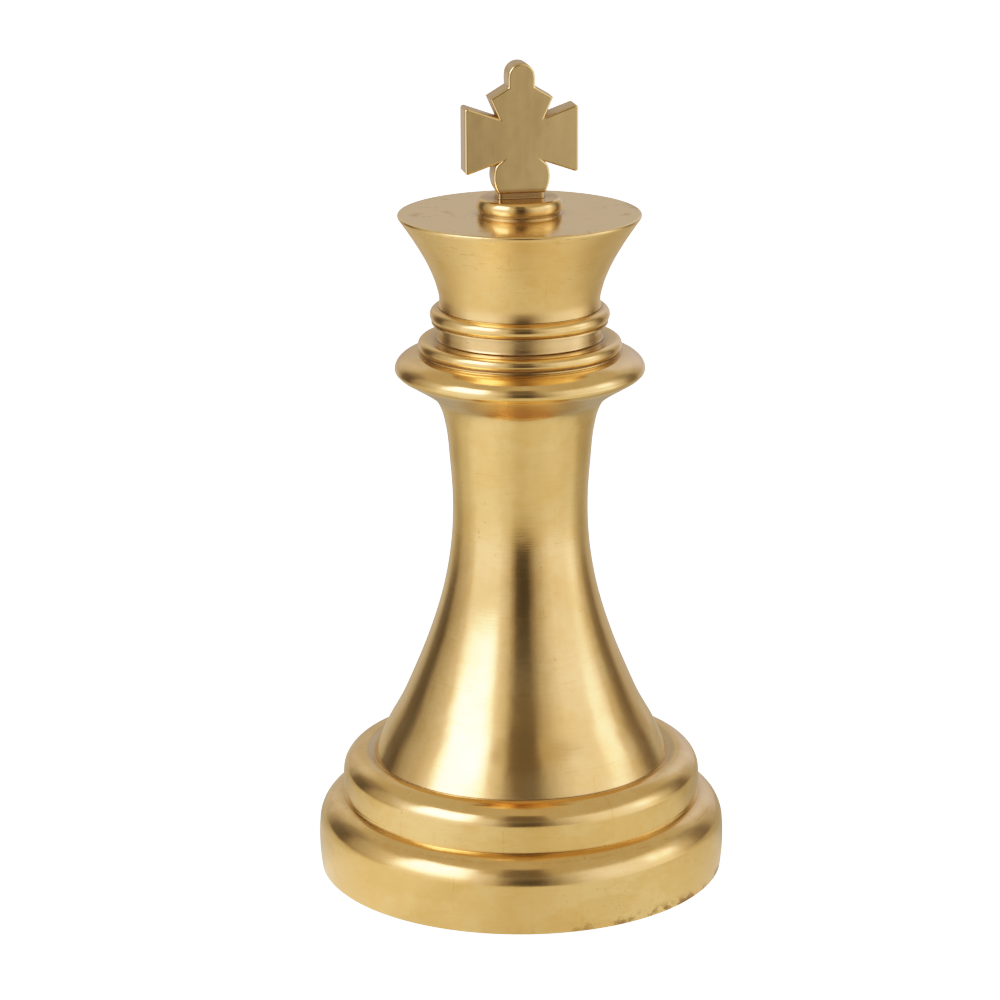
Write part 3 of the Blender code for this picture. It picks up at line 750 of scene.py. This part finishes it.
def gold_leaf():
    """Gold leaf over resin: burnished, with faint laps and brush marks, duller on the crown, with painted
    shade in brown in the recesses, at the cross's foot and on the cross's sides, and worn through along the
    bottom edge."""
    look = Look("gold_leaf", 0.14, 1.0)
    x, y, z = look.node("ShaderNodeSeparateXYZ", Vector=look.place).outputs
    cloud = look.noise(13.0, 4.0, 0.6)
    cloth = look.noise(46.0, 4.0, 0.65)
    wave = look.noise(20.0, 2.0)
    brush = look.noise(26.0, 5.0, 0.7, (1.0, 1.0, 13.0))
    grain = look.noise(420.0, 3.0, 0.6)
    streak = look.noise(24.0, 3.0, 0.6, (1.0, 1.0, 0.07))
    patch = look.ramp(look.noise(8.0, 6.0, 0.62, (1.0, 1.0, 2.2)), 0.50, 0.57)
    patches = look.times(patch, look.share_of(look.ramp(z, *LOW_PART), 0.20, 0.10))
    finial = look.ramp(z, *FINIAL)
    leaf, laps = leaves(look, x, y, z)
    laps = look.times(laps, look.ramp(cloth, 0.45, 0.60), look.math("SUBTRACT", 1.0, finial))
    # painted shade: a mask of the recesses, the underside of the collar and the trunk's foot, which darkens
    # the colour and also roughens the leaf
    crease = painted_crease_shade(look, x, y, z)
    wear = worn(look, x, y, z, cloud, laps)

    tone = look.mix(look.ramp(cloud, 0.38, 0.62), GOLD, LIGHTER_GOLD)
    for mask, share, colour in (
        (look.ramp(cloth, 0.46, 0.70), 0.42, MOTTLED_GOLD),
        (look.ramp(brush, 0.52, 0.70), 0.30, BRUSHED_GOLD),
        (patches, 1.0, PATCHED_GOLD),
        (leaf, 0.13, NEXT_LEAF_GOLD),
        (look.most(look.ramp(z, *CROSS), look.band(z, *CROWN_TOP)), 0.85, PALE_GOLD),
        # painted shade in the recesses, under the collar and round the trunk's foot
        (crease, 0.85, CREASE_SHADE_BROWN),
        # painted shade: a brown band at the cross's foot
        (look.band(z, *CROSS_FOOT), 0.6, CROSS_FOOT_SHADE_BROWN),
        # painted shade on the sides of the cross's lobes
        (cross_side_shade(look, z), 0.85, CROSS_SIDE_SHADE_BROWN),
        (wear, 1.0, BARE_RESIN),
    ):
        tone = look.mix(look.times(mask, share), tone, colour)
    look.lay("Base Color", tone)

    rough = look.share_of(brush, 0.08, 0.037)
    for amount, share in (
        (look.band(z, *CROWN_SIDE), 0.17), (cloth, 0.03), (cloud, 0.04), (streak, 0.05), (patches, 0.10),
        (crease, 0.20), (wear, 0.30), (leaf, 0.02), (finial, -0.03),
    ):
        rough = look.share_of(amount, share, rough)
    look.lay("Roughness", rough)
    height = look.times(wave, 0.42)
    for amount, share in ((streak, 0.10), (brush, 0.055), (cloth, 0.03), (grain, 0.006), (wear, -0.05)):
        height = look.share_of(amount, share, height)
    look.bump(height, MM)
    return look.material


def leaves(look, x, y, z):
    """The single leaves of gold: a shade of grey for each, and 1 on the lines where two meet."""
    unrolled = look.node("ShaderNodeCombineXYZ", X=look.math("ARCTAN2", y, x), Y=look.times(z, 7.0))
    bricks = look.node(
        "ShaderNodeTexBrick", {"offset": 0.37, "squash": 1.0}, Vector=unrolled.outputs[0], Scale=1.0,
        Color1=(0.0, 0.0, 0.0), Color2=(1.0, 1.0, 1.0), Mortar=(0.5, 0.5, 0.5),
        **{"Mortar Size": 0.006, "Mortar Smooth": 0.8, "Brick Width": 0.62, "Row Height": 0.55},
    )
    shade_of_leaf = look.node("ShaderNodeSeparateColor", Color=bricks.outputs["Color"]).outputs[0]
    return shade_of_leaf, bricks.outputs["Fac"]


def painted_crease_shade(look, x, y, z):
    """Painted shade, in brown: in recesses by how occluded they are, under the collar, and on the ring round
    the trunk's foot.
    """
    air = look.node("ShaderNodeAmbientOcclusion", {"samples": 8}, Distance=55 * MM).outputs["AO"]
    radius = look.length(look.node("ShaderNodeCombineXYZ", X=x, Y=y).outputs[0])
    trunk_foot = look.times(look.band(z, *RING_TOP), look.band(radius, *TRUNK_FOOT))
    known = look.most(look.band(z, *UNDER_COLLAR), trunk_foot)
    return look.most(look.ramp(air, 0.74, 0.34), look.times(known, 0.75))


def cross_side_shade(look, z):
    """Painted shade: 1 on the sides of the cross's lobes, which are coloured darker, and 0 on its front and
    back.
    """
    facing = look.node("ShaderNodeSeparateXYZ", Vector=look.node("ShaderNodeTexCoord").outputs["Normal"])
    sideways = look.ramp(look.math("ABSOLUTE", facing.outputs["Y"]), 0.80, 0.40)
    return look.times(sideways, look.ramp(z, *CROSS_LOBES))


def worn(look, x, y, z, cloud, laps):
    """Where the gold is worn: specks, the bottom edge, scuffs on the crown's top, nicks, and the laps."""
    specks = look.ramp(look.noise(190.0, 2.0, 0.7), 0.66, 0.74)
    specks = look.times(specks, look.ramp(cloud, 0.48, 0.66))
    rubbed = look.ramp(look.noise(55.0, 5.0, 0.7), 0.44, 0.58)
    most_worn = look.ramp(look.share_of(y, -0.45, look.times(x, 0.9)), *FRONT_RIGHT)
    bottom = look.times(look.ramp(z, *BOTTOM_EDGE), rubbed, look.share_of(most_worn, 0.92, 0.06))
    scuffs = look.ramp(look.noise(34.0, 6.0, 0.75), 0.55, 0.68)
    scuffs = look.times(scuffs, look.band(z, *CROWN_TOP))
    nicks = look.ramp(look.noise(75.0, 5.0, 0.75, (1.0, 1.0, 7.0)), 0.585, 0.69)
    nicks = look.times(nicks, look.ramp(cloud, 0.50, 0.60), look.share_of(look.band(z, *NECK), 0.50, 0.16))
    wear = nicks
    for marks, share in ((specks, 0.5), (bottom, 0.95), (scuffs, 0.42), (laps, 0.16)):
        wear = look.most(wear, look.times(marks, share))
    return wear


def metal(name, dark, light, roughness):
    """Turned or plated metal with fine tool marks."""
    look = Look(name, roughness, 1.0)
    mottled = look.noise(160.0, 4.0, 0.6)
    marks = look.noise(300.0, 3.0, 0.6, (0.2, 0.2, 4.0))
    look.lay("Base Color", look.mix(look.ramp(mottled, 0.3, 0.7), dark, light))
    look.lay("Roughness", look.share_of(marks, 0.22, roughness - 0.10))
    look.bump(marks, 0.06 * MM, 0.4)
    return look.material


def moulded(name, dark, light, roughness, grain, depth):
    """Moulded plastic, rubber or pressed fibre with an even grain and a little dust."""
    look = Look(name, roughness, 0.0)
    fine = look.noise(grain, 3.0, 0.55)
    dust = look.noise(24.0, 5.0, 0.65)
    tone = look.mix(look.ramp(fine, 0.35, 0.65), dark, light)
    dusty = tuple(min(1.0, c + 0.035) for c in light)
    look.lay("Base Color", look.mix(look.times(look.ramp(dust, 0.45, 0.8), 0.6), tone, dusty))
    look.lay("Roughness", look.share_of(dust, 0.18, roughness - 0.09))
    look.bump(fine, depth, 0.6)
    return look.material


LOOKS = {
    "gold_leaf": gold_leaf(),
    "steel": metal("zinc_steel", (0.46, 0.47, 0.49), (0.62, 0.62, 0.63), 0.32),
    "brass": metal("turned_brass", (0.60, 0.42, 0.15), (0.74, 0.55, 0.24), 0.26),
    "rubber": moulded("black_rubber", (0.018, 0.018, 0.019), (0.035, 0.034, 0.033), 0.78, 520.0, 0.05 * MM),
    "black_plastic": moulded(
        "grained_plastic", (0.028, 0.028, 0.030), (0.045, 0.045, 0.047), 0.52, 380.0, 0.06 * MM
    ),
    "fibre": moulded("red_fibre", (0.22, 0.035, 0.022), (0.34, 0.07, 0.04), 0.74, 700.0, 0.04 * MM),
}
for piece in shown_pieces():
    slot = SLOT_OF.get(piece.name.removeprefix("fine_"))
    if slot:
        piece.data.materials.clear()
        piece.data.materials.append(LOOKS[slot])


# ---------------------------------------------------------------- studio

CAMERA_TURN = 11.0  # degrees that the camera stands to the left of straight ahead

# What stands round the king: brightness by azimuth, in degrees from the camera's side, with the viewer's
# right positive. Two bright sides with a dark gap between them, and darker stretches at the far sides.
WALLS = [
    (-180, 0.60), (-168, 0.62), (-157, 0.74), (-147, 0.66), (-140, 0.44), (-133, 0.17), (-120, 0.12),
    (-107, 0.47), (-96, 0.63), (-84, 0.90), (-74, 1.50), (-35, 1.50), (-27, 1.14), (-18, 0.84), (-11, 0.36),
    (-5, 0.09), (4, 0.07), (11, 0.08), (18, 0.28), (26, 0.58), (40, 1.02), (49, 1.28), (72, 1.38), (88, 1.72),
    (96, 1.30), (104, 0.78), (118, 0.26), (126, 0.19), (140, 0.57), (156, 0.84), (180, 0.60),
]
FLOOR_NEAR = [  # what the king mirrors of the floor close to it, likewise
    (-180, 0.50), (-150, 0.66), (-125, 0.55), (-100, 0.80), (-76, 1.15), (-50, 1.20), (-25, 1.0), (0, 0.80),
    (25, 0.88), (55, 0.95), (90, 0.82), (112, 0.50), (135, 0.48), (160, 0.58), (180, 0.50),
]
CEILING = (0.59, 0.49, 0.37)
CEILING_FROM = (30.0, 42.0)  # degrees up
HIGH_ON_WALLS, HIGH_WALL_LIGHT = (14.0, 30.0), (1.2, 1.1, 0.95)
LOW_ON_WALLS, LOW_WALL_TINT = (12.0, 0.0), (0.86, 0.84, 0.78)
FAR_RIGHT, FAR_RIGHT_TINT = ((135.0, 154.8), (178.2, 167.4)), (1.0, 1.05, 1.28)
# Lights and a panel on the walls and the ceiling: colour, and bands of azimuth and of elevation.
PANEL = ((0.15, 0.125, 0.09), ((-17, -9), (22, 13)), ((22, 32), (61, 53)))
SOFT_BOX = ((5.4, 4.8, 5.2), ((-80, -66), (-27, -42)), ((5, 24), (50, 43)))
SIDE_LIGHT = ((2.5, 2.2, 2.2), ((74, 82), (102, 93)), ((10, 19), (31, 24)))
STUDIO_RADIUS = 15.0
FLOOR_RADIUS = 14.0
FLOOR_GLOW = 2.85
FLOOR_TINT = (1.01, 1.01, 0.87)
UNDER_KING, UNDER_KING_LIGHT = (0.222, 0.205), (0.80, 0.71, 0.63)
FLOOR_AS_WALLS = (0.9, 2.8)  # metres out, from where the floor begins to look like the walls
PAPER_WHITE = 3.0  # light that the film shows as white
FILM = [  # light, and how bright the film shows it
    (0.12, 0.12), (0.24, 0.24), (0.358, 0.34), (0.594, 0.51), (0.816, 0.64), (1.25, 0.83), (1.75, 0.94),
    (2.5, 0.985),
]


def share_of_turn(degrees):
    """An azimuth in degrees as azimuth_of gives it."""
    return degrees / 360 + 0.5


def azimuth_of(nodes, x, y):
    """0 at the back, 0.5 on the camera's side and 1 at the back again."""
    angle = nodes.math("ARCTAN2", x, nodes.times(y, -1.0))
    return nodes.math("FRACT", nodes.share_of(angle, 0.5 / pi, share_of_turn(CAMERA_TURN)))


def by_azimuth(nodes, azimuth, levels):
    """Light from a list of (degrees, level), warmer where it is darker."""
    made = nodes.node("ShaderNodeValToRGB", Fac=azimuth)
    stops = made.color_ramp.elements
    stops.remove(stops[-1])
    for degrees_round, level in levels:
        place = share_of_turn(degrees_round)
        stop = stops[0] if place == 0 else stops.new(place)
        bright = min(1.0, level / 1.3)
        stop.color = (level, level * (0.86 + 0.03 * bright), level * (0.70 + 0.13 * bright), 1.0)
    made.color_ramp.interpolation = "EASE"
    return made.outputs[0]


def hide_from(thing, *kinds):
    """Make rays of these kinds pass through the thing."""
    for kind in kinds:
        setattr(thing, "visible_" + kind, False)


def stage_piece(name, mesh, look):
    """A piece of the studio, which isn't part of the king."""
    piece = bpy.data.objects.new(name, mesh)
    mesh.materials.append(look)
    bpy.context.scene.collection.objects.link(piece)
    return piece


def disc_mesh(name, radius):
    bm = bmesh.new()
    bmesh.ops.create_circle(bm, cap_ends=True, segments=96, radius=radius)
    mesh = bpy.data.meshes.new(name)
    bm.to_mesh(mesh)
    bm.free()
    return mesh


def floor_look():
    """A pale sweep that glows, and that can be looked through from below."""
    look = Look("studio_floor", 0.9, 0.0)
    look.lay("Base Color", look.mix(look.noise(3.0, 2.0), (0.26, 0.26, 0.26), (0.28, 0.28, 0.28)))
    look.shader.inputs["Emission Color"].default_value = (1.0, 1.0, 1.0, 1.0)
    look.shader.inputs["Emission Strength"].default_value = FLOOR_GLOW
    look.shader.inputs["Specular IOR Level"].default_value = 0.0
    clear = look.node("ShaderNodeBsdfTransparent")
    facing = look.node("ShaderNodeNewGeometry")
    both = look.node("ShaderNodeMixShader", i0=facing.outputs["Backfacing"],
                     i1=look.shader.outputs[0], i2=clear.outputs[0])
    look.tree.links.new(both.outputs[0], look.tree.nodes["Material Output"].inputs["Surface"])
    return look.material


def glow_look(name, colour, strength):
    """A plain glow of a colour, or of a colour socket made by a function of the look."""
    look = Look(name, 1.0, 0.0)
    glow = look.node("ShaderNodeEmission", Strength=strength)
    look.feed(colour(look) if callable(colour) else colour, glow.inputs["Color"])
    look.tree.links.new(glow.outputs[0], look.tree.nodes["Material Output"].inputs["Surface"])
    return look.material


def bounce(look):
    """What the king sees of the floor: near it by azimuth, and further off as bright as the walls."""
    x, y, _ = look.node("ShaderNodeSeparateXYZ", Vector=look.place).outputs
    azimuth = azimuth_of(look, x, y)
    away = look.length(look.place)
    near = look.mix(1.0, by_azimuth(look, azimuth, FLOOR_NEAR), FLOOR_TINT, "MULTIPLY")
    near = look.mix(look.ramp(away, *UNDER_KING), near, UNDER_KING_LIGHT)
    return look.mix(look.ramp(away, *FLOOR_AS_WALLS), near, by_azimuth(look, azimuth, WALLS))


def studio_sky(sky):
    """The walls and the ceiling with their lights, as a colour by direction."""
    x, y, z = sky.node("ShaderNodeSeparateXYZ", Vector=sky.place).outputs
    azimuth = azimuth_of(sky, x, y)
    elevation = sky.times(sky.math("ARCSINE", z), 180 / pi)

    def round_band(rise, fall):
        return sky.band(azimuth, *(tuple(map(share_of_turn, edge)) for edge in (rise, fall)))

    colour = by_azimuth(sky, azimuth, WALLS)
    colour = sky.mix(sky.times(sky.ramp(elevation, *HIGH_ON_WALLS), 0.14), colour, HIGH_WALL_LIGHT)
    colour = sky.mix(sky.ramp(elevation, *LOW_ON_WALLS), colour, LOW_WALL_TINT, "MULTIPLY")
    colour = sky.mix(round_band(*FAR_RIGHT), colour, FAR_RIGHT_TINT, "MULTIPLY")
    colour = sky.mix(sky.ramp(elevation, *CEILING_FROM), colour, CEILING)
    for light, azimuths, elevations in (PANEL, SOFT_BOX, SIDE_LIGHT):  # in this order, each over the last
        window = sky.times(round_band(*azimuths), sky.band(elevation, *elevations))
        colour = sky.mix(window, colour, light)
    return colour


floor = stage_piece("floor", disc_mesh("floor", FLOOR_RADIUS), floor_look())
hide_from(floor, "glossy", "diffuse", "transmission", "shadow")
bounce_mesh = disc_mesh("floor_bounce", FLOOR_RADIUS)
under = stage_piece("floor_bounce", bounce_mesh, glow_look("floor_bounce", bounce, 1.0))
under.location.z = -0.5 * MM
hide_from(under, "camera", "shadow")
bm = bmesh.new()
bmesh.ops.create_icosphere(bm, subdivisions=5, radius=STUDIO_RADIUS)
dome_mesh = bpy.data.meshes.new("backdrop")
bm.to_mesh(dome_mesh)
bm.free()
white = glow_look("backdrop", (1.0, 1.0, 1.0), 1.1 * PAPER_WHITE)
backdrop = stage_piece("backdrop", dome_mesh, white)
hide_from(backdrop, "glossy", "diffuse", "transmission", "shadow")

world = bpy.data.worlds.new("studio")
bpy.context.scene.world = world
world.use_nodes = True
sky = Nodes(world.node_tree, world.node_tree.nodes.new("ShaderNodeTexCoord").outputs["Generated"])
world.node_tree.links.new(studio_sky(sky), world.node_tree.nodes["Background"].inputs["Color"])

film = bpy.context.scene.view_settings
film.view_transform = "Standard"
film.use_curve_mapping = True
film.curve_mapping.white_level = (PAPER_WHITE,) * 3
for light, shown in FILM:
    film.curve_mapping.curves[3].points.new(light / PAPER_WHITE, shown)
film.curve_mapping.update()


# ---------------------------------------------------------------- camera

# The camera that fits the photo's ellipses, in metres, in degrees down and round, and with its sensor and
# lens in millimetres.
CAMERA_AWAY = 3.7393
CAMERA_HEIGHT = 1.5053
CAMERA_PITCH = 16.139
CAMERA_ROLL = -0.15
SENSOR, LENS = 36.0, 126.6
SHIFT = (-0.0203, 0.0005)
lens = bpy.data.cameras.new("camera")
lens.sensor_width = SENSOR
lens.lens = LENS
lens.shift_x, lens.shift_y = SHIFT
camera = bpy.data.objects.new("camera", lens)
turn = radians(-CAMERA_TURN)
camera.matrix_world = (
    Matrix.Translation((sin(turn) * CAMERA_AWAY, -cos(turn) * CAMERA_AWAY, CAMERA_HEIGHT))
    @ Matrix.Rotation(turn, 4, "Z")
    @ Matrix.Rotation(radians(90 - CAMERA_PITCH), 4, "X")
    @ Matrix.Rotation(radians(CAMERA_ROLL), 4, "Z")
)
bpy.context.scene.collection.objects.link(camera)
bpy.context.scene.camera = camera
